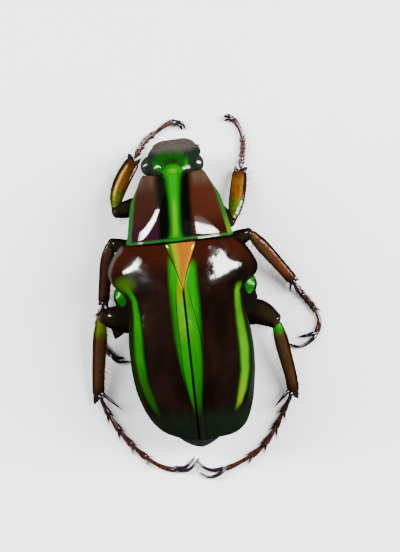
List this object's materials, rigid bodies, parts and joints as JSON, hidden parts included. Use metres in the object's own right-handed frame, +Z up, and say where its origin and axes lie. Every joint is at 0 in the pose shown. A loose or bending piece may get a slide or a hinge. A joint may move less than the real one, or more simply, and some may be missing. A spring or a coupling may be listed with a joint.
{
  "type": "flower beetle",
  "caption": "Still, life-size dried flower beetle with its legs spread: head, prothorax, long scutellum, striped wing cases, and legs with spurs and curved claws.",
  "frame": {"origin": "on the floor, on the belly's flat, between the middle and hind legs", "axes": "-Y towards the head, +X towards the animal's left, +Z up through the back"},
  "size_m": [0.0155, 0.0237, 0.0063],
  "materials": {
    "head_green": "polished dark metallic green and brown, finely pitted",
    "eye_black": "glossy black",
    "antenna_red": "satin reddish brown",
    "mahogany": "polished mahogany brown",
    "prothorax_shell": "polished maroon with green stripes and margins",
    "scutellum_orange": "polished orange with a yellow-green edge",
    "belly_green": "polished dark metallic green",
    "wing_case_shell": "polished dark maroon with green stripes",
    "leg_brown": "polished reddish brown",
    "toe_brown": "satin dark brown",
    "claw_black": "glossy purplish black"
  },
  "bodies": {
    "root": {"head": "head_green", "eye_left": "eye_black", "eye_right": "eye_black", "antenna_left": "antenna_red", "antenna_right": "antenna_red", "antenna_club_left": "antenna_red", "antenna_club_right": "antenna_red", "mouthparts": "mahogany", "prothorax": "prothorax_shell", "scutellum": "scutellum_orange", "thorax": "belly_green", "elytron_left": "wing_case_shell", "elytron_right": "wing_case_shell", "abdomen": "belly_green", "pygidium": "belly_green", "coxa_fore_left": "mahogany", "femur_fore_left": "mahogany", "tibia_fore_left": "leg_brown", "tarsus_fore_left": "toe_brown", "claws_fore_left": "claw_black", "coxa_fore_right": "mahogany", "femur_fore_right": "mahogany", "tibia_fore_right": "leg_brown", "tarsus_fore_right": "toe_brown", "claws_fore_right": "claw_black", "coxa_mid_left": "mahogany", "femur_mid_left": "mahogany", "tibia_mid_left": "leg_brown", "tarsus_mid_left": "toe_brown", "claws_mid_left": "claw_black", "coxa_mid_right": "mahogany", "femur_mid_right": "mahogany", "tibia_mid_right": "leg_brown", "tarsus_mid_right": "toe_brown", "claws_mid_right": "claw_black", "coxa_hind_left": "mahogany", "femur_hind_left": "mahogany", "tibia_hind_left": "leg_brown", "tarsus_hind_left": "toe_brown", "claws_hind_left": "claw_black", "coxa_hind_right": "mahogany", "femur_hind_right": "mahogany", "tibia_hind_right": "leg_brown", "tarsus_hind_right": "toe_brown", "claws_hind_right": "claw_black"}
  },
  "joints": []
}
